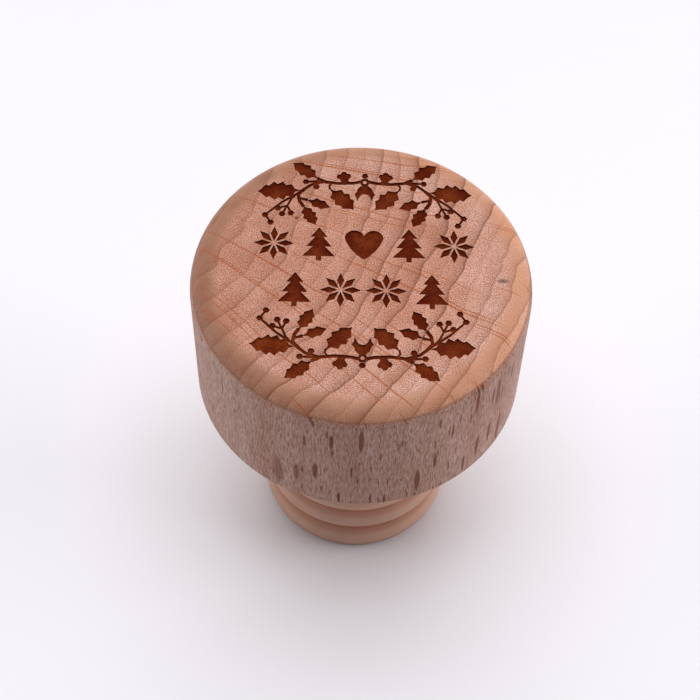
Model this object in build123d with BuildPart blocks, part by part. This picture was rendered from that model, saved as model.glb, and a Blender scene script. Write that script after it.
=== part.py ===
from build123d import *
from math import cos, pi, radians, sin
import os

# Bottle stopper of two pieces: a turned beech head with an engraved top, and a moulded ribbed plug
# whose collar and spigot are glued into the head. Millimetres. Z is the stopper's axis, the plug's
# flat end stands on Z = 0, and the engraving on top reads upright for someone on the -Y side.

os.makedirs("parts", exist_ok=True)

# Head, turned with its grain along Z
head_diameter = 35.0
head_height = 17.0
top_edge_radius = 2.1
lower_edge_chamfer = 0.3

# Plug, moulded in a soft thermoplastic elastomer; its ribs are a cosine wave in straight bands
plug_length = 23.8
crest_diameter = 21.2
groove_depth = 0.7
rib_count = 4
rib_pitch = 3.95
bands_per_rib = 5
lowest_crest_height = 1.95
end_rim_chamfer = 0.4

# Glued joint: the collar is let into the head's underside, and the spigot into a blind bore above it
seat_depth = 0.5
spigot_diameter = 12.0
spigot_length = 8.0
glue_gap = 0.1
bore_end_gap = 0.6

# Engraving: bare margin from the head's side to the outermost leaf tips, its depth and its centre
engraving_margin = 2.0
engraving_depth = 0.2
engraving_shift_x = 0.2
engraving_shift_y = 0.65

# Garland, drawn for leaf tips on a circle of drawn_diameter and scaled to the circle that is there
drawn_diameter = 30.9
stem_width = 0.4
stalk_width = 0.24
leaf_fullness = 0.75
hollow_share = 0.3
hollow_lean = 0.25
eye_radius = 0.22
knot_radius = 0.56
berry_radius = 0.37
berry_sides = 6

# Two rows of motifs between the upper and the lower garland, at the drawing's scale
motif_size = 4.2
motif_gap = 0.4
row_gap = 1.5
star_points = 8
star_slit = radians(4)

total_height = plug_length + head_height
seat_height = plug_length + seat_depth
crest_radius = crest_diameter / 2
spigot_radius = spigot_diameter / 2
drawing_scale = (head_diameter - 2 * engraving_margin) / drawn_diameter


def left_of(direction):
    """Unit vector square to a direction in the sketch, on its left."""
    return Vector(-direction.Y, direction.X).normalized()


def holly_leaf(base, tip, half_width, spine_count):
    """A blade whose spines stand on a sine-shaped envelope, with a leaning hollow between each two."""
    base = Vector(base)
    along = Vector(tip) - base
    side = left_of(along)
    steps = 2 * (spine_count + 1)
    outline = []
    for step in range(steps + 1):
        share = step / steps
        reach = half_width * sin(pi * share) ** leaf_fullness
        if step % 2 == 1:
            reach = max(reach - hollow_share * half_width, stem_width / 2)
            share += hollow_lean / steps
        outline.append((base + along * share, side * reach))
    left = [point + reach for point, reach in outline]
    right = [point - reach for point, reach in outline[1:-1]]
    with BuildSketch() as leaf:
        Polygon(*left, *reversed(right), align=None)
    return leaf.sketch


def stalk(points, start_width, end_width):
    """A bent stalk that tapers evenly from its first point to its last."""
    points = [Vector(point) for point in points]
    last = len(points) - 1
    left = []
    right = []
    for place, point in enumerate(points):
        heading = points[min(place + 1, last)] - points[max(place - 1, 0)]
        half_width = (start_width + (end_width - start_width) * place / last) / 2
        left.append(point + left_of(heading) * half_width)
        right.append(point - left_of(heading) * half_width)
    with BuildSketch() as strip:
        Polygon(*left, *reversed(right), align=None)
    return strip.sketch


# One quarter of the two garlands, the lower right one, drawn about the engraving's centre
with BuildSketch() as sprig:
    # leaves: base, tip, half width, spines on each side
    for leaf in (
        ((3.65, -10.05), (1.05, -7.3), 1.05, 3),
        ((6.0, -8.5), (3.55, -7.55), 0.68, 2),
        ((6.35, -7.75), (5.0, -5.25), 0.78, 3),
        ((6.7, -9.75), (11.2, -9.5), 1.26, 4),
        ((4.9, -11.35), (7.6, -13.45), 0.88, 3),
    ):
        add(holly_leaf(*leaf))
    # stems: points along the middle, first and last width
    for line in (
        (((0.0, -11.15), (1.1, -10.85), (2.8, -10.75), (4.5, -10.98)), stem_width, stem_width),
        (((4.2, -10.98), (5.6, -10.5), (7.0, -9.3), (8.6, -8.1), (10.25, -6.45)), stem_width, stalk_width),
        (((6.3, -9.9), (6.9, -9.2), (6.75, -8.3), (6.3, -7.6)), stem_width, stem_width),
        (((4.2, -10.98), (5.0, -11.4)), stem_width, stem_width),
        (((4.2, -10.98), (6.15, -10.9)), stem_width, stalk_width),
        (((6.87, -8.75), (5.9, -8.48)), stalk_width, stem_width),
        (((1.75, -10.75), (2.1, -11.6)), stem_width, stem_width),
    ):
        add(stalk(*line))
    # thin stalks of the largest inner leaf and of the berries
    for points in (
        ((3.35, -10.9), (3.7, -10.4), (3.6, -9.9)),
        ((7.0, -9.3), (7.6, -8.6), (8.0, -7.7), (8.5, -6.6)),
        ((8.0, -7.7), (7.6, -6.75)),
        ((8.0, -7.7), (8.95, -7.35)),
        ((10.25, -6.45), (9.65, -5.5)),
    ):
        add(stalk(points, stalk_width, stalk_width))
    # berries on the stem and in the cluster, and the three lobes of the trefoil beside the eye
    with Locations(
        (5.05, -10.25), (6.15, -10.9),
        (7.6, -6.75), (8.5, -6.6), (8.95, -7.35), (9.65, -5.5), (10.25, -6.45),
        (1.78, -11.75), (2.2, -12.0), (2.62, -11.65),
    ):
        RegularPolygon(berry_radius, berry_sides)
    # middle of the trefoil
    with Locations((2.15, -11.45)):
        RegularPolygon(knot_radius, berry_sides)

with BuildSketch() as garlands:
    add(sprig.sketch)
    # right half of the two-horned leaf in the middle
    Polygon(
        (0, -10.55), (0, -9.4), (0.35, -9.3), (0.55, -9.0), (0.8, -8.45),
        (0.88, -9.0), (1.1, -9.35), (0.85, -9.7), (0.75, -10.1), (0.3, -10.55),
        align=None,
    )
    mirror(about=Plane.YZ)
    # knot with its bare eye, and the bud below it
    with Locations((0, -10.95)):
        RegularPolygon(knot_radius, berry_sides)
        RegularPolygon(eye_radius, berry_sides, mode=Mode.SUBTRACT)
    with Locations((0, -11.8)):
        RegularPolygon(berry_radius, berry_sides)
    mirror(about=Plane.XZ)

# The motifs, each drawn in a square two units wide
with BuildSketch() as star:
    root = 0.1
    shoulder = 0.47
    half_width = (root + shoulder) * sin(pi / star_points - star_slit)
    with PolarLocations(root, star_points):
        Polygon((0, 0), (shoulder, -half_width), (1 - root, 0), (shoulder, half_width), align=None)

with BuildSketch() as fir:
    with BuildLine():
        Polyline(
            (0, 1),
            (0.42, 0.42), (0.2, 0.42),
            (0.62, -0.16), (0.3, -0.16),
            (0.8, -0.74), (0.13, -0.74),
            (0.13, -1), (0, -1),
        )
        mirror(about=Plane.YZ)
    make_face()

with BuildSketch() as heart:
    with BuildLine():
        ThreePointArc((0, 0.5), (0.55, 0.85), (0.95, 0.4))
        ThreePointArc((0.95, 0.4), (0.65, -0.25), (0, -0.9))
        mirror(about=Plane.YZ)
    make_face()

with BuildSketch() as engraving:
    add(garlands.sketch)
    row_height = (motif_size + row_gap) / 2
    motif_pitch = motif_size + motif_gap
    for height, row in (
        (row_height, (star, fir, heart, fir, star)),
        (-row_height, (fir, star, star, fir)),
    ):
        for place, motif in enumerate(row):
            with Locations(((place - (len(row) - 1) / 2) * motif_pitch, height)):
                add(scale(motif.sketch, by=motif_size / 2, mode=Mode.PRIVATE))


def wave_level(edge):
    """Height of the cosine wave at an edge between two bands; the lowest crest lies from edge 0 to 1."""
    return cos(2 * pi * (edge - 0.5) / bands_per_rib)


def wave_point(edge):
    """A point of the plug's outline, with crests at crest_radius and grooves at groove_depth below them."""
    levels = [wave_level(nearby) for nearby in range(bands_per_rib)]
    dip = groove_depth * (max(levels) - wave_level(edge)) / (max(levels) - min(levels))
    return (crest_radius - dip, lowest_crest_height + (edge - 0.5) * rib_pitch / bands_per_rib)


# the wave falls for one more band below the lowest crest and above the highest, where the collar begins
highest_crest = (rib_count - 1) * bands_per_rib
wave = [wave_point(edge) for edge in range(-1, highest_crest + 3)]
collar_radius = wave[-1][0]

with BuildPart() as turned_head:
    with BuildSketch(Plane.XY.offset(plug_length)):
        Circle(head_diameter / 2)
    extrude(amount=head_height)
    fillet(turned_head.edges().sort_by(Axis.Z)[-1], top_edge_radius)
    chamfer(turned_head.edges().sort_by(Axis.Z)[0], lower_edge_chamfer)
    with BuildSketch(Plane.XY.offset(plug_length)):
        Circle(collar_radius + glue_gap)
    extrude(amount=seat_depth, mode=Mode.SUBTRACT)
    with BuildSketch(Plane.XY.offset(seat_height)):
        Circle(spigot_radius + glue_gap)
    extrude(amount=spigot_length + bore_end_gap, mode=Mode.SUBTRACT)
    with BuildSketch(Plane.XY.offset(total_height)):
        with Locations((engraving_shift_x, engraving_shift_y)):
            add(scale(engraving.sketch, by=drawing_scale, mode=Mode.PRIVATE))
    extrude(amount=-engraving_depth, mode=Mode.SUBTRACT)

turned_head.part.label = "turned_head"
export_step(turned_head.part, "parts/turned_head.step")

with BuildPart() as ribbed_plug:
    with BuildSketch(Plane.XZ):
        with BuildLine():
            Polyline(
                (0, 0), (wave[0][0] - end_rim_chamfer, 0), *wave, (collar_radius, seat_height),
                (spigot_radius, seat_height), (spigot_radius, seat_height + spigot_length),
                (0, seat_height + spigot_length),
                close=True,
            )
        make_face()
    revolve(axis=Axis.Z)

ribbed_plug.part.label = "ribbed_plug"
export_step(ribbed_plug.part, "parts/ribbed_plug.step")
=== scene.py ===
"""Bottle stopper: a turned beech head with a burnt garland on its top, and a ribbed cork-coloured plug.

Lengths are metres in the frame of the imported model: Z is the stopper's axis and the plug's flat end
stands on Z = 0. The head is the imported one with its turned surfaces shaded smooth, and the plug is a
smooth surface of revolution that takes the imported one's place.
"""

import math
from types import SimpleNamespace

import bmesh
import bpy
import numpy as np
from bpy.props import FloatProperty, FloatVectorProperty, IntProperty, PointerProperty
from mathutils import Matrix, Vector


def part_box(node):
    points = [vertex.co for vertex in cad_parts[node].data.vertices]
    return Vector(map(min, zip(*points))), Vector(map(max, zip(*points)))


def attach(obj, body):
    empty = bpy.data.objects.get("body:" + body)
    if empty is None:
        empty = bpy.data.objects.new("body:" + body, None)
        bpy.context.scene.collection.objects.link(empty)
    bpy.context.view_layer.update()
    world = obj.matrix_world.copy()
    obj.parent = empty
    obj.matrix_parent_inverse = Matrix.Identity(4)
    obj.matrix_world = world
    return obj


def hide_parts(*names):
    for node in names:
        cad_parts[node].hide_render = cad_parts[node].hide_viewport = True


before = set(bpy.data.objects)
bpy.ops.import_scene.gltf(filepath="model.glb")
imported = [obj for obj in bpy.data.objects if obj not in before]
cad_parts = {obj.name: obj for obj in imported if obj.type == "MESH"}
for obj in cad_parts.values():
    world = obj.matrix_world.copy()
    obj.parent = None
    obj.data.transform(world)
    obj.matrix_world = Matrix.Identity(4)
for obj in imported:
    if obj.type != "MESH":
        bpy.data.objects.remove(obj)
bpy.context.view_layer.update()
HEAD_LOW, HEAD_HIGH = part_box("turned_head")
PLUG_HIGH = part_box("ribbed_plug")[1]

bl_info = {
    "name": "Bottle Stopper",
    "version": (1, 0, 0),
    "blender": (4, 5, 0),
    "location": "3D View > Sidebar > Stopper",
    "description": "Beech head with a burnt garland, ribbed plug, floor, lights and camera",
    "category": "Object",
}

IN_PLAN = (1, 1, 0)  # times a vector, leaves out its height


def linear(code):
    """The linear colour of an sRGB hex value, with an alpha of 1 behind it."""
    shares = [int(code[place:place + 2], 16) / 255 for place in (1, 3, 5)]
    return [s / 12.92 if s <= 0.04045 else ((s + 0.055) / 1.055) ** 2.4 for s in shares] + [1.0]


def length(name, description, default):
    """A length in metres for a panel."""
    return FloatProperty(name=name, description=description, default=default, unit="LENGTH", precision=5)


def colour(name, description, code):
    """A colour for a panel, from its sRGB hex value."""
    return FloatVectorProperty(
        name=name, description=description, default=linear(code), size=4, subtype="COLOR", min=0, max=1
    )


# ---------------------------------------------------------------- settings


class HeadSettings(bpy.types.PropertyGroup):
    edge_radius: length("Edge radius", "Rounding between the head's top and side", 0.0021)
    engraving_depth: length("Engraving depth", "How far the burnt floor lies below the top", 0.0002)
    heart_distance: length("Heart distance", "From the head's axis to the heart of the trunk", 0.045)
    heart_angle: FloatProperty(
        name="Heart angle", description="Direction of the trunk's heart, from +X", default=math.radians(153),
        subtype="ANGLE",
    )
    ring_spacing: length("Ring spacing", "Wood grown in one year, at the head's axis", 0.002)
    ray_spacing: length("Ray spacing", "Room round the trunk for one ray", 0.00072)
    ray_height: length("Ray height", "Room along the trunk for one ray", 0.0095)
    ray_length: length("Ray length", "Room outwards from the heart for one ray", 0.06)
    fibre_width: length("Fibre width", "Vessels and fibres, drawn coarse enough to show", 0.00012)
    fibre_length: length("Fibre length", "Length of a vessel's cut on the side", 0.0011)
    end_grain: colour("End grain", "Sanded flat of the top", "#C08872")
    rim_grain: colour("Rim grain", "Burnished rounding between top and side", "#BA876D")
    # greyer than the end grain: partly the side grain's own colour, partly painted cool shade
    shaded_side_grain: colour("Side grain", "Turned side", "#A58072")
    # painted sheen that makes the outer part of the flat paler
    painted_sheen: colour("Pale grain", "Outer part of the flat, which is paler than its middle", "#D9BBAE")
    late_wood: colour("Late wood", "Dark edge of a year's ring on end grain and side", "#7E4B37")
    late_rim: colour("Late wood on the rim", "Dark edge of a year's ring where it is burnished", "#7C452E")
    ray_on_end: colour("Ray on end grain", "Thin line of a ray on the top", "#A65A30")
    ray_on_side: colour("Ray on the side", "Lens of a ray that the side cuts across", "#662508")
    ray_along: colour("Ray along the side", "Fleck of a ray that the side cuts lengthwise", "#85503D")
    char: colour("Char", "Burnt floor of the engraving", "#561805")
    char_light: colour("Light char", "Places that burnt least", "#7A3413")


class PlugSettings(bpy.types.PropertyGroup):
    visible_length: length("Visible length", "From the flat end to the head's underside", HEAD_LOW[2])
    seat_depth: length("Seat depth", "How far the collar is let into the head", 0.0005)
    crest_radius: length("Crest radius", "Radius of the ribs' crests", PLUG_HIGH[0])
    collar_radius: length("Collar radius", "Radius of the plain collar above the ribs", 0.010167)
    spigot_radius: length("Spigot radius", "Radius of the spigot in the head's bore", 0.006)
    groove_depth: length("Groove depth", "From a crest to the groove beside it", 0.0007)
    rib_pitch: length("Rib pitch", "From one crest to the next", 0.00395)
    lowest_crest: length("Lowest crest", "Height of the lowest crest", 0.00195)
    rim_inset: length("Rim inset", "How far the flat end's edge lies inside the crests", 0.0009)
    rib_count: IntProperty(name="Rib count", description="Number of crests", default=4, min=1)
    sides: IntProperty(name="Sides", description="Faces round the plug", default=256, min=32)
    # the plain elastomer, seen on the crests and the flanks that face up, where no shade is painted
    elastomer: colour("Elastomer", "Moulded cork-coloured elastomer, on its scuffed crests", "#BE927C")
    # painted shade of the grooves and of the flanks that face down
    groove_shade: colour("Groove", "The same elastomer where nothing rubs it", "#955020")


class StageSettings(bpy.types.PropertyGroup):
    elevation: FloatProperty(
        name="Elevation", description="Camera above the horizon", default=math.radians(56.78), subtype="ANGLE"
    )
    azimuth: FloatProperty(
        name="Azimuth", description="Camera round the stopper from -Y", default=math.radians(-0.53),
        subtype="ANGLE",
    )
    roll: FloatProperty(
        name="Roll", description="Camera about its own axis", default=math.radians(1.684), subtype="ANGLE"
    )
    field_of_view: FloatProperty(
        name="Field of view", description="Across the picture", default=math.radians(22.89), subtype="ANGLE"
    )
    distance: length("Distance", "Camera to the point that it looks at", 0.17513)
    floor: colour("Floor", "Matt white paper", "#EFEDF3")


# ---------------------------------------------------------------- nodes and meshes


def add_node(tree, kind, inputs=None, **settings):
    """Adds a node with its settings, and each input set to a value or linked to a node or a socket."""
    node = tree.nodes.new(kind)
    for name, value in settings.items():
        setattr(node, name, value)
    for key, value in (inputs or {}).items():
        if isinstance(key, int):
            socket = node.inputs[key]
        else:
            socket = next(entry for entry in node.inputs if entry.name == key and entry.enabled)
        if isinstance(value, bpy.types.Node):
            value = next(entry for entry in value.outputs if entry.enabled)
        if isinstance(value, bpy.types.NodeSocket):
            tree.links.new(value, socket)
        else:
            socket.default_value = value
    return node


def new_material(name):
    """An empty material and its tree of nodes."""
    material = bpy.data.materials.new(name)
    material.use_nodes = True
    material.node_tree.nodes.clear()
    return material, material.node_tree


def shade_piece(mesh, name, materials, node):
    """Makes an object of a mesh that takes a CAD node's place."""
    mesh.materials.clear()
    for material in materials:
        mesh.materials.append(material)
    piece = bpy.data.objects.new(name, mesh)
    bpy.context.scene.collection.objects.link(piece)
    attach(piece, "root")
    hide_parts(node)


# ---------------------------------------------------------------- head


def turned_normals(points, radius, top, edge_radius):
    """Normals of a turned knob: up on its flat top, outwards on its side, and in between away from the
    circle that the rounding's section runs round."""
    above_zero = 1e-9
    across = np.hypot(points[:, 0], points[:, 1])
    outwards = points[:, :2] / np.maximum(across, above_zero)[:, None]
    beyond_flat = np.maximum(across - (radius - edge_radius), 0)
    above_side = np.maximum(points[:, 2] - (top - edge_radius), 0)
    lean = np.arctan2(beyond_flat, above_side)
    return np.column_stack([outwards * np.sin(lean)[:, None], np.cos(lean)])


def engraved_head(settings):
    """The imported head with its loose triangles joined, its turned surfaces' true normals, and the second
    material on each face of the engraving. A face belongs to the engraving if its middle lies below the
    turned surface but not below the engraving's floor."""
    merge_distance = 1e-6
    tolerance = 2e-5
    widest_lean = math.radians(20)
    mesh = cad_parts["turned_head"].data.copy()
    shell = bmesh.new()
    shell.from_mesh(mesh)
    bmesh.ops.remove_doubles(shell, verts=shell.verts, dist=merge_distance)
    shell.to_mesh(mesh)
    shell.free()
    radius, top, edge = HEAD_HIGH[0], HEAD_HIGH[2], settings.edge_radius
    points = np.empty(len(mesh.vertices) * 3, np.float32)
    mesh.vertices.foreach_get("co", points)
    points = points.reshape(-1, 3).astype(float)
    corner_point = np.empty(len(mesh.loops), np.int32)
    mesh.loops.foreach_get("vertex_index", corner_point)
    face_normal = np.empty(len(mesh.polygons) * 3, np.float32)
    mesh.polygons.foreach_get("normal", face_normal)
    face_normal = face_normal.reshape(-1, 3)
    middle = points[corner_point.reshape(-1, 3)].mean(axis=1)
    across = np.hypot(middle[:, 0], middle[:, 1])
    beyond_flat = np.clip(across - (radius - edge), 0, edge)
    surface = top - edge + np.sqrt(edge ** 2 - beyond_flat ** 2)
    floor = top - settings.engraving_depth - tolerance
    engraved = (middle[:, 2] < surface - tolerance) & (middle[:, 2] > floor)
    turned = turned_normals(points[corner_point], radius, top, edge)
    flat = np.repeat(face_normal, 3, axis=0)
    agree = (turned * flat).sum(axis=1) > math.cos(widest_lean)
    use_turned = agree & ~np.repeat(engraved, 3)
    mesh.shade_smooth()
    mesh.normals_split_custom_set(np.where(use_turned[:, None], turned, flat).tolist())
    return mesh, engraved


def head_places(tree):
    """Where a point lies on the turned head, as nodes that the patterns of the wood share: its place and
    normal; across, its distance from the axis; rightwards, from -1 to 1; on_flat and on_side, which are 1
    on the sanded flats and on the side; and on_either, which is 0 on the burnished rim between them."""
    radius, top = HEAD_HIGH[0], HEAD_HIGH[2]
    # where the rim takes over from the flat, inwards from the side, and from the side, down from the top
    flat_insets = (0.0031, 0.0017)
    side_depths = (0.0013, 0.0008)
    facing_down = -0.9
    place = add_node(tree, "ShaderNodeTexCoord").outputs["Object"]
    normal = add_node(tree, "ShaderNodeNewGeometry").outputs["Normal"]
    parts = add_node(tree, "ShaderNodeSeparateXYZ", {0: place}).outputs
    in_plan = add_node(tree, "ShaderNodeVectorMath", {0: place, 1: IN_PLAN}, operation="MULTIPLY")
    across = add_node(tree, "ShaderNodeVectorMath", {0: in_plan}, operation="LENGTH").outputs["Value"]
    rightwards = add_node(tree, "ShaderNodeMath", {0: parts["X"], 1: radius}, operation="DIVIDE")
    on_flat = add_node(
        tree, "ShaderNodeMapRange",
        {
            "Value": across, "From Min": radius - flat_insets[0], "From Max": radius - flat_insets[1],
            "To Min": 1.0, "To Max": 0.0,
        },
        interpolation_type="SMOOTHSTEP",
    )
    on_side = add_node(
        tree, "ShaderNodeMapRange",
        {
            "Value": parts["Z"], "From Min": top - side_depths[0], "From Max": top - side_depths[1],
            "To Min": 1.0, "To Max": 0.0,
        },
        interpolation_type="SMOOTHSTEP",
    )
    # the underside is a sanded flat too
    upright = add_node(tree, "ShaderNodeSeparateXYZ", {0: normal}).outputs["Z"]
    underside = add_node(tree, "ShaderNodeMath", {0: upright, 1: facing_down}, operation="LESS_THAN")
    on_flat = add_node(tree, "ShaderNodeMath", {0: on_flat, 1: underside}, operation="MAXIMUM")
    on_side = add_node(
        tree, "ShaderNodeMath", {0: on_side, 1: underside}, operation="SUBTRACT", use_clamp=True
    )
    on_either = add_node(tree, "ShaderNodeMath", {0: on_flat, 1: on_side}, operation="MAXIMUM")
    return SimpleNamespace(
        place=place, normal=normal, across=across, rightwards=rightwards,
        on_flat=on_flat, on_side=on_side, on_either=on_either,
    )


def add_trunk_places(tree, head, settings):
    """Adds where a point of the head lay in the trunk: from_heart, the level vector from the trunk's
    heart; out, its length; and in_trunk, the distances round the heart, up the trunk and out from the
    heart. Rays and rings wander in the last, slowly over 12 mm and in small steps over 3 mm. Stretched is
    the place for patterns that are far longer up the trunk."""
    stretch = (1, 1, 0.15)
    towards_heart = Vector((math.cos(settings.heart_angle), math.sin(settings.heart_angle), 0))
    heart = settings.heart_distance * towards_heart
    off_heart = add_node(tree, "ShaderNodeVectorMath", {0: head.place, 1: heart}, operation="SUBTRACT")
    parts = add_node(tree, "ShaderNodeSeparateXYZ", {0: off_heart}).outputs
    head.from_heart = add_node(tree, "ShaderNodeVectorMath", {0: off_heart, 1: IN_PLAN}, operation="MULTIPLY")
    head.out = add_node(
        tree, "ShaderNodeVectorMath", {0: head.from_heart}, operation="LENGTH"
    ).outputs["Value"]
    angle = add_node(tree, "ShaderNodeMath", {0: parts["Y"], 1: parts["X"]}, operation="ARCTAN2")
    arc = add_node(tree, "ShaderNodeMath", {0: angle, 1: settings.heart_distance}, operation="MULTIPLY")
    head.in_trunk = add_node(tree, "ShaderNodeCombineXYZ", {"X": arc, "Y": parts["Z"], "Z": head.out})
    head.stretched = add_node(
        tree, "ShaderNodeVectorMath", {0: head.place, 1: stretch}, operation="MULTIPLY"
    )
    # size of the waves, and their swing round the heart, up the trunk and outwards
    for size, swing in ((0.012, (0.0016, 0.0, 0.0045)), (0.003, (0.0003, 0.0, 0.0011))):
        wander = add_node(
            tree, "ShaderNodeTexNoise", {"Vector": head.stretched, "Scale": 1 / size, "Detail": 1.0}
        ).outputs["Color"]
        centred = add_node(
            tree, "ShaderNodeVectorMath", {0: wander, 1: (0.5, 0.5, 0.5)}, operation="SUBTRACT"
        )
        moved = add_node(tree, "ShaderNodeVectorMath", {0: centred, 1: swing}, operation="MULTIPLY")
        head.in_trunk = add_node(tree, "ShaderNodeVectorMath", {0: head.in_trunk, 1: moved}, operation="ADD")


def beech_ground(tree, head, settings):
    """Plain wood: end grain on the flats, a burnished rim and a side that is greyer, partly by painted cool
    shade. A painted light makes the top, and the rim most of all, paler to the right, and a painted sheen
    makes the outer part of the flat paler, apart from its left."""
    radius = HEAD_HIGH[0]
    ground = add_node(
        tree, "ShaderNodeMix",
        {"Factor": head.on_flat, "A": settings.rim_grain, "B": settings.end_grain}, data_type="RGBA",
    )
    ground = add_node(
        tree, "ShaderNodeMix", {"Factor": head.on_side, "A": ground, "B": settings.shaded_side_grain},
        data_type="RGBA",
    )
    # painted light: the colour is made paler to the right and darker to the left, most of all on the rim
    painted_light_spread = add_node(tree, "ShaderNodeMapRange", {"Value": head.on_flat, "To Min": 0.32, "To Max": 0.07})
    painted_light_spread = add_node(
        tree, "ShaderNodeMix", {"Factor": head.on_side, "A": painted_light_spread, "B": -0.03}, data_type="FLOAT"
    )
    tone = add_node(tree, "ShaderNodeMath", {0: head.rightwards, 1: painted_light_spread, 2: 1.0}, operation="MULTIPLY_ADD")
    ground = add_node(
        tree, "ShaderNodeMix",
        {"Factor": 1.0, "A": ground, "B": tone}, data_type="RGBA", blend_type="MULTIPLY",
    )
    # painted sheen: the outer part of the flat is made paler, except on its left
    pale = add_node(
        tree, "ShaderNodeMapRange",
        {
            "Value": head.across, "From Min": 0.45 * radius, "From Max": 0.82 * radius,
            "To Min": 0.0, "To Max": 0.22,
        },
    )
    sheen_off_left = add_node(
        tree, "ShaderNodeMapRange", {"Value": head.rightwards, "From Min": -0.7, "From Max": 0.0}
    )
    pale = add_node(tree, "ShaderNodeMath", {0: pale, 1: sheen_off_left}, operation="MULTIPLY")
    pale = add_node(tree, "ShaderNodeMath", {0: pale, 1: head.on_flat}, operation="MULTIPLY")
    return add_node(
        tree, "ShaderNodeMix", {"Factor": pale, "A": ground, "B": settings.painted_sheen}, data_type="RGBA"
    )


def with_rings(tree, wood, head, settings):
    """The wood with its rings. Each year darkens slowly to a sharp outer edge, some years far more than
    others. Their number grows as a power of the distance from the heart, so they come closer together
    outwards, where they are bolder too, and they are faint on the side."""
    crowding = 1.5
    slowness = 1.7
    late_darkness = 0.7
    radius = HEAD_HIGH[0]
    distance = settings.heart_distance
    out_wandering = add_node(tree, "ShaderNodeSeparateXYZ", {0: head.in_trunk}).outputs["Z"]
    girth = add_node(tree, "ShaderNodeMath", {0: out_wandering, 1: distance}, operation="DIVIDE")
    grown = add_node(tree, "ShaderNodeMath", {0: girth, 1: crowding}, operation="POWER")
    years_to_axis = distance / (crowding * settings.ring_spacing)
    years = add_node(tree, "ShaderNodeMath", {0: grown, 1: years_to_axis}, operation="MULTIPLY")
    year = add_node(tree, "ShaderNodeMath", {0: years}, operation="FLOOR")
    season = add_node(tree, "ShaderNodeMath", {0: years}, operation="FRACT")
    chance = add_node(tree, "ShaderNodeTexWhiteNoise", {"W": year}, noise_dimensions="1D").outputs["Value"]
    boldness = add_node(tree, "ShaderNodeMapRange", {"Value": chance, "To Min": 0.2, "To Max": 0.9})
    late = add_node(tree, "ShaderNodeMath", {0: season, 1: slowness}, operation="POWER")
    edge = add_node(
        tree, "ShaderNodeMapRange",
        {"Value": season, "From Min": 0.82, "From Max": 0.96, "To Min": 0.0, "To Max": 0.35},
        interpolation_type="SMOOTHSTEP",
    )
    darkness = add_node(
        tree, "ShaderNodeMath", {0: late, 1: late_darkness, 2: edge}, operation="MULTIPLY_ADD"
    )
    darkness = add_node(tree, "ShaderNodeMath", {0: darkness, 1: boldness}, operation="MULTIPLY")
    shown = add_node(tree, "ShaderNodeMapRange", {"Value": head.on_side, "To Min": 1.0, "To Max": 0.3})
    darkness = add_node(tree, "ShaderNodeMath", {0: darkness, 1: shown}, operation="MULTIPLY")
    outer = add_node(
        tree, "ShaderNodeMapRange",
        {
            "Value": head.out, "From Min": distance - radius, "From Max": distance + radius,
            "To Min": 0.6, "To Max": 1.2,
        },
    )
    ring = add_node(
        tree, "ShaderNodeMath", {0: darkness, 1: outer}, operation="MULTIPLY", use_clamp=True
    )
    late_colour = add_node(
        tree, "ShaderNodeMix",
        {"Factor": head.on_either, "A": settings.late_rim, "B": settings.late_wood}, data_type="RGBA",
    )
    return add_node(tree, "ShaderNodeMix", {"Factor": ring, "A": wood, "B": late_colour}, data_type="RGBA")


def with_smudges(tree, wood, head, patch, settings):
    """The wood with the brown smudges of its burnished rim, made heavier on the left as painted shade, and
    with a painted shade line along the rim's foot."""
    foot_shade_strength = 1.6
    smudge = add_node(
        tree, "ShaderNodeMapRange",
        {"Value": patch, "From Min": 0.44, "From Max": 0.66, "To Min": 0.0, "To Max": 0.8},
    )
    # painted shade: the smudges are made heavier on the left
    left_shade_weight = add_node(
        tree, "ShaderNodeMapRange",
        {"Value": head.rightwards, "From Min": -1.0, "From Max": 0.2, "To Min": 0.85, "To Max": 0.3},
    )
    smudge = add_node(tree, "ShaderNodeMath", {0: smudge, 1: left_shade_weight}, operation="MULTIPLY")
    on_rim = add_node(tree, "ShaderNodeMath", {0: 1.0, 1: head.on_either}, operation="SUBTRACT")
    smudge = add_node(tree, "ShaderNodeMath", {0: smudge, 1: on_rim}, operation="MULTIPLY")
    # painted shade: a dark line along the rim's foot, where the rim turns down
    off_side = add_node(tree, "ShaderNodeMath", {0: 1.0, 1: head.on_side}, operation="SUBTRACT")
    foot = add_node(tree, "ShaderNodeMath", {0: off_side, 1: head.on_side}, operation="MULTIPLY")
    # brown carries both the smudges and the painted shade of the foot, in the burnished ring colour
    brown = add_node(
        tree, "ShaderNodeMath", {0: foot, 1: foot_shade_strength, 2: smudge}, operation="MULTIPLY_ADD",
        use_clamp=True,
    )
    return add_node(
        tree, "ShaderNodeMix", {"Factor": brown, "A": wood, "B": settings.late_rim}, data_type="RGBA"
    )


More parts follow.
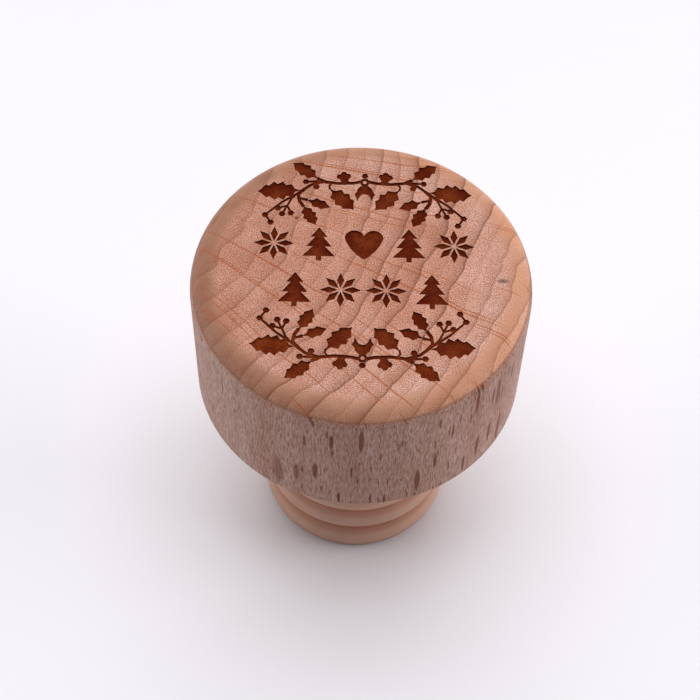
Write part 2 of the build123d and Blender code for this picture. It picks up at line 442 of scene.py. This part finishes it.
def with_rays(tree, wood, head, settings):
    """The wood with its rays: thin upright sheets that run out from the heart, in four sets of
    lens-shaped cells. The side cuts them across where it faces along them, and lengthwise where it runs
    along them."""
    outwards = add_node(tree, "ShaderNodeVectorMath", {0: head.from_heart}, operation="NORMALIZE")
    facing = add_node(
        tree, "ShaderNodeVectorMath", {0: outwards, 1: head.normal}, operation="DOT_PRODUCT"
    ).outputs["Value"]
    square_on = add_node(tree, "ShaderNodeMath", {0: facing}, operation="ABSOLUTE")
    cut_across = add_node(
        tree, "ShaderNodeMapRange", {"Value": square_on, "From Min": 0.1, "From Max": 0.6},
        interpolation_type="SMOOTHSTEP",
    )
    ray_colour = add_node(
        tree, "ShaderNodeMix",
        {"Factor": cut_across, "A": settings.ray_along, "B": settings.ray_on_side}, data_type="RGBA",
    )
    ray_colour = add_node(
        tree, "ShaderNodeMix", {"Factor": head.on_side, "A": settings.ray_on_end, "B": ray_colour},
        data_type="RGBA",
    )
    side_strength = add_node(tree, "ShaderNodeMapRange", {"Value": cut_across, "To Min": 0.5, "To Max": 1.0})
    cell_room = (settings.ray_spacing, settings.ray_height, settings.ray_length)
    solid_share = 0.6
    # size, shift of the pattern, share of empty cells, strength on the top and on the side
    for share, seed, empty, on_top, across_side in (
        (1.3, 2.3, 0.5, 0.0, 0.85),
        (0.9, 0.0, 0.35, 0.6, 1.0),
        (0.6, 5.1, 0.3, 0.85, 1.0),
        (0.38, 9.7, 0.55, 0.9, 0.9),
    ):
        in_rays = add_node(
            tree, "ShaderNodeVectorMath", {0: head.in_trunk, 1: [1 / (room * share) for room in cell_room]},
            operation="MULTIPLY",
        )
        moved = add_node(tree, "ShaderNodeVectorMath", {0: in_rays, 1: (seed, seed, seed)}, operation="ADD")
        cell = add_node(tree, "ShaderNodeTexVoronoi", {"Vector": moved, "Scale": 1.0, "Randomness": 0.65})
        lot = add_node(tree, "ShaderNodeSeparateColor", {0: cell.outputs["Color"]}).outputs
        grown = add_node(tree, "ShaderNodeMath", {0: lot["Red"], 1: empty}, operation="GREATER_THAN")
        size = add_node(
            tree, "ShaderNodeMapRange",
            {"Value": lot["Red"], "From Min": empty, "To Min": 0.1, "To Max": 0.36},
        )
        reach = add_node(tree, "ShaderNodeMath", {0: grown, 1: size}, operation="MULTIPLY")
        inner = add_node(tree, "ShaderNodeMath", {0: reach, 1: solid_share}, operation="MULTIPLY")
        seen = add_node(tree, "ShaderNodeMath", {0: side_strength, 1: across_side}, operation="MULTIPLY")
        zone_strength = add_node(
            tree, "ShaderNodeMix", {"Factor": head.on_side, "A": on_top, "B": seen}, data_type="FLOAT"
        )
        own_strength = add_node(
            tree, "ShaderNodeMapRange", {"Value": lot["Green"], "To Min": 0.85, "To Max": 1.0}
        )
        strength = add_node(tree, "ShaderNodeMath", {0: own_strength, 1: zone_strength}, operation="MULTIPLY")
        ray = add_node(
            tree, "ShaderNodeMapRange",
            {
                "Value": cell.outputs["Distance"], "From Min": inner, "From Max": reach,
                "To Min": strength, "To Max": 0.0,
            },
            interpolation_type="SMOOTHSTEP",
        )
        wood = add_node(tree, "ShaderNodeMix", {"Factor": ray, "A": wood, "B": ray_colour}, data_type="RGBA")
    return wood


def with_pores(tree, wood, head, settings):
    """The wood with its pores, which are short dark strokes on the side, drawn coarse enough to show."""
    pore_width = 0.00017
    pore_height = 0.001
    in_pores = add_node(
        tree, "ShaderNodeVectorMath", {0: head.place, 1: (1 / pore_width, 1 / pore_width, 1 / pore_height)},
        operation="MULTIPLY",
    )
    pore = add_node(
        tree, "ShaderNodeTexNoise", {"Vector": in_pores, "Scale": 1.0, "Detail": 0.0}
    ).outputs["Fac"]
    stroke = add_node(
        tree, "ShaderNodeMapRange",
        {"Value": pore, "From Min": 0.68, "From Max": 0.76, "To Min": 0.0, "To Max": 0.55},
    )
    stroke = add_node(tree, "ShaderNodeMath", {0: stroke, 1: head.on_side}, operation="MULTIPLY")
    return add_node(
        tree, "ShaderNodeMix", {"Factor": stroke, "A": wood, "B": settings.ray_on_side}, data_type="RGBA"
    )


def with_speckle(tree, wood, head, fibre, patch):
    """The wood with the speckle of its fibres, which is strong on the sanded flats and weaker on the side
    and on the rim, and with its patches. Dark fibres and patches are redder than pale ones, because red
    gets less contrast than green and blue."""
    contrast = (0.4, 0.75, 1.05)
    weight = add_node(tree, "ShaderNodeMapRange", {"Value": head.on_flat, "To Min": 0.25, "To Max": 0.75})
    weight = add_node(
        tree, "ShaderNodeMix", {"Factor": head.on_side, "A": weight, "B": 0.5}, data_type="FLOAT"
    )
    swing = add_node(
        tree, "ShaderNodeMapRange",
        {"Value": fibre, "From Min": 0.38, "From Max": 0.62, "To Min": -1.0, "To Max": 1.0},
    )
    speckle = add_node(tree, "ShaderNodeMath", {0: swing, 1: weight, 2: 1.0}, operation="MULTIPLY_ADD")
    patches = add_node(
        tree, "ShaderNodeMapRange",
        {"Value": patch, "From Min": 0.3, "From Max": 0.7, "To Min": 0.72, "To Max": 1.2},
    )
    grain = add_node(tree, "ShaderNodeMath", {0: speckle, 1: patches}, operation="MULTIPLY")
    grain = add_node(tree, "ShaderNodeVectorMath", {0: grain, 1: contrast}, operation="POWER")
    return add_node(
        tree, "ShaderNodeMix", {"Factor": 1.0, "A": wood, "B": grain}, data_type="RGBA", blend_type="MULTIPLY"
    )


def with_marks(tree, wood, head, fibre):
    """The wood with a small bark mark on its top, a dark speck, and a fine crack down its side, each an
    ellipsoid that the fibres fray."""
    top = HEAD_HIGH[2]
    bark = linear("#3A2A28")
    # middle and half size of each
    for middle, half_size in (
        ((0.0143, -0.0007, top), (0.0009, 0.0004, 0.001)),
        ((-0.0068, 0.0068, top), (0.0003, 0.0003, 0.001)),
        ((-0.01375, -0.01085, top - 0.0045), (0.0003, 0.00012, 0.0024)),
    ):
        off = add_node(tree, "ShaderNodeVectorMath", {0: head.place, 1: middle}, operation="SUBTRACT")
        scaled = add_node(tree, "ShaderNodeVectorMath", {0: off, 1: half_size}, operation="DIVIDE")
        away = add_node(tree, "ShaderNodeVectorMath", {0: scaled}, operation="LENGTH").outputs["Value"]
        frayed = add_node(tree, "ShaderNodeMath", {0: fibre, 1: away}, operation="ADD")
        mark = add_node(
            tree, "ShaderNodeMapRange",
            {"Value": frayed, "From Min": 0.7, "From Max": 1.5, "To Min": 0.75, "To Max": 0.0},
            interpolation_type="SMOOTHSTEP",
        )
        wood = add_node(tree, "ShaderNodeMix", {"Factor": mark, "A": wood, "B": bark}, data_type="RGBA")
    return wood


def beech(settings):
    """Steamed European beech, turned and sanded: pinkish brown with a fine pale speckle on its end grain,
    dark ring edges, thin orange rays, and their dark lenses on the side. Flats and side are dull, and the
    rim is satin where it is burnished."""
    material, tree = new_material("turned_steamed_beech")
    patch_size = 0.0035
    relief_height = 0.00005
    head = head_places(tree)
    add_trunk_places(tree, head, settings)
    # fibres and vessels: a speckle on the end grain, short upright strokes on the side
    fibre_scale = (1 / settings.fibre_width, 1 / settings.fibre_width, 1 / settings.fibre_length)
    in_fibres = add_node(tree, "ShaderNodeVectorMath", {0: head.place, 1: fibre_scale}, operation="MULTIPLY")
    fibre = add_node(
        tree, "ShaderNodeTexNoise", {"Vector": in_fibres, "Scale": 1.0, "Detail": 2.0, "Roughness": 0.7}
    ).outputs["Fac"]
    patch = add_node(
        tree, "ShaderNodeTexNoise", {"Vector": head.stretched, "Scale": 1 / patch_size, "Detail": 3.0}
    ).outputs["Fac"]

    wood = beech_ground(tree, head, settings)
    wood = with_rings(tree, wood, head, settings)
    wood = with_smudges(tree, wood, head, patch, settings)
    wood = with_rays(tree, wood, head, settings)
    wood = with_pores(tree, wood, head, settings)
    wood = with_speckle(tree, wood, head, fibre, patch)
    wood = with_marks(tree, wood, head, fibre)

    roughness = add_node(tree, "ShaderNodeMapRange", {"Value": head.on_either, "To Min": 0.4, "To Max": 0.55})
    relief = add_node(tree, "ShaderNodeBump", {"Strength": 0.5, "Distance": relief_height, "Height": fibre})
    shader = add_node(
        tree, "ShaderNodeBsdfPrincipled",
        {
            "Base Color": wood, "Roughness": roughness, "Normal": relief,
            "IOR": 1.5, "Specular IOR Level": 0.18,
        },
    )
    add_node(tree, "ShaderNodeOutputMaterial", {"Surface": shader})
    return material


def char(settings):
    """Beech charred by a laser: matt reddish dark brown, finely speckled by the fibres, mottled where the
    beam burnt less, and lighter towards the lower garland."""
    material, tree = new_material("laser_charred_beech")
    mottle_size = 0.0016
    relief_height = 0.00005
    # from the front edge of the lower garland to clear behind it
    lower_garland = (-0.012, -0.003)
    place = add_node(tree, "ShaderNodeTexCoord").outputs["Object"]
    fine = add_node(
        tree, "ShaderNodeTexNoise", {"Vector": place, "Scale": 1 / settings.fibre_width, "Detail": 1.0}
    ).outputs["Fac"]
    mottle = add_node(
        tree, "ShaderNodeTexNoise", {"Vector": place, "Scale": 1 / mottle_size, "Detail": 3.0}
    ).outputs["Fac"]
    forward = add_node(tree, "ShaderNodeSeparateXYZ", {0: place}).outputs["Y"]
    lower = add_node(
        tree, "ShaderNodeMapRange",
        {
            "Value": forward, "From Min": lower_garland[0], "From Max": lower_garland[1],
            "To Min": 0.4, "To Max": 0.12,
        },
    )
    unburnt = add_node(
        tree, "ShaderNodeMapRange",
        {"Value": mottle, "From Min": 0.4, "From Max": 0.7, "To Min": -0.15, "To Max": 0.5},
    )
    light = add_node(tree, "ShaderNodeMath", {0: unburnt, 1: lower}, operation="ADD", use_clamp=True)
    burn = add_node(
        tree, "ShaderNodeMix", {"Factor": light, "A": settings.char, "B": settings.char_light},
        data_type="RGBA",
    )
    grain = add_node(
        tree, "ShaderNodeMapRange",
        {"Value": fine, "From Min": 0.35, "From Max": 0.65, "To Min": 0.65, "To Max": 1.35},
    )
    burn = add_node(
        tree, "ShaderNodeMix", {"Factor": 1.0, "A": burn, "B": grain}, data_type="RGBA", blend_type="MULTIPLY"
    )
    relief = add_node(tree, "ShaderNodeBump", {"Strength": 0.4, "Distance": relief_height, "Height": fine})
    shader = add_node(
        tree, "ShaderNodeBsdfPrincipled",
        {"Base Color": burn, "Roughness": 0.9, "Normal": relief, "IOR": 1.5, "Specular IOR Level": 0.06},
    )
    add_node(tree, "ShaderNodeOutputMaterial", {"Surface": shader})
    return material


class OBJECT_OT_stopper_head(bpy.types.Operator):
    """Makes the beech head with its burnt engraving"""

    bl_idname = "stopper.head"
    bl_label = "Beech head"

    def execute(self, context):
        settings = context.scene.stopper_head
        mesh, engraved = engraved_head(settings)
        shade_piece(mesh, "beech_head", [beech(settings), char(settings)], "turned_head")
        mesh.polygons.foreach_set("material_index", engraved.astype(np.int32))
        return {"FINISHED"}


# ---------------------------------------------------------------- plug


def plug_profile(settings):
    """Radii and heights from the middle of the flat end, over rim, ribs, collar and spigot, to the
    spigot's middle. The rim is a quarter wave, the ribs are whole cosine waves, and the fall from the
    highest crest to the collar is a half wave."""
    turn_steps = 12
    wave_steps = 24
    crest = settings.crest_radius
    groove = crest - settings.groove_depth
    collar = settings.collar_radius
    last_crest = settings.lowest_crest + (settings.rib_count - 1) * settings.rib_pitch
    rim_turn = np.linspace(0, math.pi / 2, turn_steps + 1)
    rim_radii = crest - settings.rim_inset * (1 - np.sin(rim_turn))
    rim_heights = settings.lowest_crest * (1 - np.cos(rim_turn))
    heights = np.linspace(settings.lowest_crest, last_crest, wave_steps * (settings.rib_count - 1) + 1)[1:]
    turns = 2 * math.pi * (heights - settings.lowest_crest) / settings.rib_pitch
    radii = groove + settings.groove_depth * (1 + np.cos(turns)) / 2
    fall = np.linspace(0, 1, turn_steps + 1)[1:]
    fall_radii = collar + (crest - collar) * (1 + np.cos(math.pi * fall)) / 2
    fall_heights = last_crest + fall * settings.rib_pitch / 2
    seat = settings.visible_length + settings.seat_depth
    tail_radii = [collar, settings.spigot_radius, settings.spigot_radius, 0]
    tail_heights = [seat, seat, PLUG_HIGH[2], PLUG_HIGH[2]]
    return (
        np.concatenate([[0], rim_radii, radii, fall_radii, tail_radii]),
        np.concatenate([[0], rim_heights, heights, fall_heights, tail_heights]),
    )


def revolved(name, radii, heights, sides):
    """A closed surface of revolution: at each angle round Z, the profile's radius and height. Its two
    ends lie on the axis, so each is one point with a fan of triangles."""
    sharp_from = math.radians(40)
    angles = np.linspace(0, 2 * math.pi, sides, endpoint=False)
    ring_radii, ring_angles = np.meshgrid(radii[1:-1], angles, indexing="ij")
    ring_heights = np.repeat(heights[1:-1, None], sides, axis=1)
    rings = np.stack([ring_radii * np.cos(ring_angles), ring_radii * np.sin(ring_angles), ring_heights], -1)
    points = np.concatenate([rings.reshape(-1, 3), [[0, 0, heights[0]], [0, 0, heights[-1]]]])
    ids = np.arange(len(rings) * sides).reshape(-1, sides)
    after = np.roll(ids, -1, axis=1)
    quads = np.stack([ids[:-1], after[:-1], after[1:], ids[1:]], -1).reshape(-1, 4)
    low, high = len(points) - 2, len(points) - 1
    low_fan = np.stack([after[0], ids[0], np.full(sides, low)], -1)
    high_fan = np.stack([ids[-1], after[-1], np.full(sides, high)], -1)
    mesh = bpy.data.meshes.new(name)
    mesh.from_pydata(points.tolist(), [], quads.tolist() + low_fan.tolist() + high_fan.tolist())
    mesh.shade_smooth()
    mesh.set_sharp_from_angle(angle=sharp_from)
    return mesh


def cork_elastomer(settings):
    """Thermoplastic elastomer, injection moulded in cork colour: satin, a little translucent, with the
    fine orange-peel of an etched mould and faint clouds of pigment. The grooves and the flanks that face
    down get a painted shade, darker and more orange; the crests and the flanks that face up keep the plain
    colour."""
    material, tree = new_material("moulded_cork_elastomer")
    cloud_size = 0.003
    # coarser than an etched mould's, so that it shows
    peel_size = 0.00025
    relief_height = 0.00003
    full_shade_depth = 0.7 * settings.groove_depth
    facing_down_shade = -0.9
    place = add_node(tree, "ShaderNodeTexCoord").outputs["Object"]
    clouds = add_node(tree, "ShaderNodeTexNoise", {"Vector": place, "Scale": 1 / cloud_size, "Detail": 4.0})
    tone = add_node(
        tree, "ShaderNodeMapRange",
        {"Value": clouds.outputs["Fac"], "From Min": 0.3, "From Max": 0.7, "To Min": 0.94, "To Max": 1.05},
    )
    in_plan = add_node(tree, "ShaderNodeVectorMath", {0: place, 1: IN_PLAN}, operation="MULTIPLY")
    across = add_node(tree, "ShaderNodeVectorMath", {0: in_plan}, operation="LENGTH").outputs["Value"]
    # painted shade: stronger the deeper a point lies in a groove
    depth = add_node(
        tree, "ShaderNodeMapRange",
        {
            "Value": across, "From Min": settings.crest_radius - full_shade_depth,
            "From Max": settings.crest_radius, "To Min": 0.85, "To Max": 0.0,
        },
    )
    normal = add_node(tree, "ShaderNodeNewGeometry").outputs["Normal"]
    upright = add_node(tree, "ShaderNodeSeparateXYZ", {0: normal}).outputs["Z"]
    # painted shade: also stronger where the surface faces down
    painted_groove_shade = add_node(
        tree, "ShaderNodeMath", {0: upright, 1: facing_down_shade, 2: depth}, operation="MULTIPLY_ADD",
        use_clamp=True,
    )
    shade = add_node(
        tree, "ShaderNodeMix",
        {"Factor": painted_groove_shade, "A": settings.elastomer, "B": settings.groove_shade}, data_type="RGBA",
    )
    shade = add_node(
        tree, "ShaderNodeMix", {"Factor": 1.0, "A": shade, "B": tone}, data_type="RGBA", blend_type="MULTIPLY"
    )
    peel = add_node(tree, "ShaderNodeTexNoise", {"Vector": place, "Scale": 1 / peel_size, "Detail": 2.0})
    relief = add_node(
        tree, "ShaderNodeBump", {"Strength": 0.25, "Distance": relief_height, "Height": peel.outputs["Fac"]}
    )
    shader = add_node(
        tree, "ShaderNodeBsdfPrincipled",
        {
            "Base Color": shade, "Roughness": 0.45, "Normal": relief, "IOR": 1.5,
            "Subsurface Weight": 0.05, "Subsurface Radius": (1.0, 0.5, 0.25), "Subsurface Scale": 0.001,
        },
    )
    add_node(tree, "ShaderNodeOutputMaterial", {"Surface": shader})
    return material


class OBJECT_OT_stopper_plug(bpy.types.Operator):
    """Makes the ribbed plug"""

    bl_idname = "stopper.plug"
    bl_label = "Ribbed plug"

    def execute(self, context):
        settings = context.scene.stopper_plug
        mesh = revolved("ribbed_cork_plug", *plug_profile(settings), settings.sides)
        shade_piece(mesh, "ribbed_cork_plug", [cork_elastomer(settings)], "ribbed_plug")
        return {"FINISHED"}


# ---------------------------------------------------------------- floor, lights and camera


def paper(settings):
    """Matt white paper: even and dull, with no gloss to mirror the stopper."""
    material, tree = new_material("matt_white_paper")
    shader = add_node(
        tree, "ShaderNodeBsdfPrincipled",
        {"Base Color": settings.floor, "Roughness": 0.9, "Specular IOR Level": 0.1},
    )
    add_node(tree, "ShaderNodeOutputMaterial", {"Surface": shader})
    return material


def add_floor(settings):
    """A square of paper that the stopper stands on."""
    half = 1.5
    mesh = bpy.data.meshes.new("floor")
    corners = [(-half, -half, 0), (half, -half, 0), (half, half, 0), (-half, half, 0)]
    mesh.from_pydata(corners, [], [(0, 1, 2, 3)])
    mesh.materials.append(paper(settings))
    floor = bpy.data.objects.new("floor", mesh)
    bpy.context.scene.collection.objects.link(floor)


def add_softbox(name, place, width, power):
    """A white square area light at a place, turned to the middle of the head's top."""
    data = bpy.data.lights.new(name, "AREA")
    data.shape = "SQUARE"
    data.size = width
    data.energy = power
    lamp = bpy.data.objects.new(name, data)
    lamp.location = place
    towards = Vector((0, 0, HEAD_HIGH[2])) - Vector(place)
    lamp.rotation_euler = towards.to_track_quat("-Z", "Y").to_euler()
    bpy.context.scene.collection.objects.link(lamp)


def add_surroundings():
    """A room that glows most straight behind the stopper and a little overhead. The camera, and whatever
    is mirrored or seen through a piece, gets a plain white room instead."""
    world = bpy.data.worlds.new("studio")
    world.use_nodes = True
    tree = world.node_tree
    tree.nodes.clear()
    heading = add_node(tree, "ShaderNodeTexCoord").outputs["Generated"]
    glow = 0.0
    # direction of the glow, and its strength there
    for direction, strength in (((0, 1, 0), 2.03), ((0, 0, 1), 0.25)):
        along = add_node(
            tree, "ShaderNodeVectorMath", {0: heading, 1: direction}, operation="DOT_PRODUCT"
        ).outputs["Value"]
        lit = add_node(tree, "ShaderNodeMath", {0: along, 1: 0.0}, operation="MAXIMUM")
        glow = add_node(tree, "ShaderNodeMath", {0: lit, 1: strength, 2: glow}, operation="MULTIPLY_ADD")
    soft = add_node(tree, "ShaderNodeBackground", {"Strength": glow})
    room_white = linear("#F4F4F8")
    white = add_node(tree, "ShaderNodeBackground", {"Color": room_white, "Strength": 1.0})
    ray = add_node(tree, "ShaderNodeLightPath").outputs
    plain = add_node(
        tree, "ShaderNodeMath", {0: ray["Is Camera Ray"], 1: ray["Is Glossy Ray"]}, operation="ADD"
    )
    plain = add_node(
        tree, "ShaderNodeMath", {0: plain, 1: ray["Is Transmission Ray"]}, operation="ADD", use_clamp=True
    )
    mixed = add_node(tree, "ShaderNodeMixShader", {0: plain, 1: soft, 2: white})
    add_node(tree, "ShaderNodeOutputWorld", {"Surface": mixed})
    bpy.context.scene.world = world


def add_camera(settings):
    """A camera that looks at a point in the front of the head, from a distance and two angles, and is
    turned about its own axis by a roll."""
    target = Vector((-0.00101, -0.00658, HEAD_HIGH[2] - 0.00432))
    back = Vector((
        math.sin(settings.azimuth) * math.cos(settings.elevation),
        -math.cos(settings.azimuth) * math.cos(settings.elevation),
        math.sin(settings.elevation),
    ))
    turn = (-back).to_track_quat("-Z", "Y").to_matrix() @ Matrix.Rotation(settings.roll, 3, "Z")
    data = bpy.data.cameras.new("camera")
    data.angle = settings.field_of_view
    data.clip_start = 0.001
    camera = bpy.data.objects.new("camera", data)
    camera.matrix_world = Matrix.Translation(target + back * settings.distance) @ turn.to_4x4()
    bpy.context.scene.collection.objects.link(camera)
    bpy.context.scene.camera = camera


class OBJECT_OT_stopper_stage(bpy.types.Operator):
    """Makes the floor, the soft lights, the surroundings and the camera"""

    bl_idname = "stopper.stage"
    bl_label = "Stage"

    def execute(self, context):
        settings = context.scene.stopper_stage
        add_floor(settings)
        # place, width, and power in watts
        add_softbox("left_softbox", (-0.6, 0, 0.2), 0.4, 1.2)
        add_softbox("right_softbox", (0.6, 0, 0.2), 0.4, 2.04)
        add_softbox("top_softbox", (0, 0.02, 0.8), 0.6, 3.2)
        add_surroundings()
        add_camera(settings)
        context.scene.view_settings.view_transform = "Standard"
        return {"FINISHED"}


# ---------------------------------------------------------------- panel and registration


class VIEW3D_PT_stopper(bpy.types.Panel):
    bl_label = "Bottle stopper"
    bl_space_type = "VIEW_3D"
    bl_region_type = "UI"
    bl_category = "Stopper"

    def draw(self, context):
        scene = context.scene
        for operator, settings in (
            ("stopper.head", scene.stopper_head),
            ("stopper.plug", scene.stopper_plug),
            ("stopper.stage", scene.stopper_stage),
        ):
            box = self.layout.box()
            box.operator(operator)
            for name in settings.__annotations__:
                box.prop(settings, name)


CLASSES = (
    HeadSettings, PlugSettings, StageSettings,
    OBJECT_OT_stopper_head, OBJECT_OT_stopper_plug, OBJECT_OT_stopper_stage,
    VIEW3D_PT_stopper,
)


def register():
    for item in CLASSES:
        bpy.utils.register_class(item)
    bpy.types.Scene.stopper_head = PointerProperty(type=HeadSettings)
    bpy.types.Scene.stopper_plug = PointerProperty(type=PlugSettings)
    bpy.types.Scene.stopper_stage = PointerProperty(type=StageSettings)


def unregister():
    del bpy.types.Scene.stopper_stage
    del bpy.types.Scene.stopper_plug
    del bpy.types.Scene.stopper_head
    for item in reversed(CLASSES):
        bpy.utils.unregister_class(item)


def main():
    register()
    bpy.ops.stopper.head()
    bpy.ops.stopper.plug()
    bpy.ops.stopper.stage()


if __name__ == "__main__":
    main()
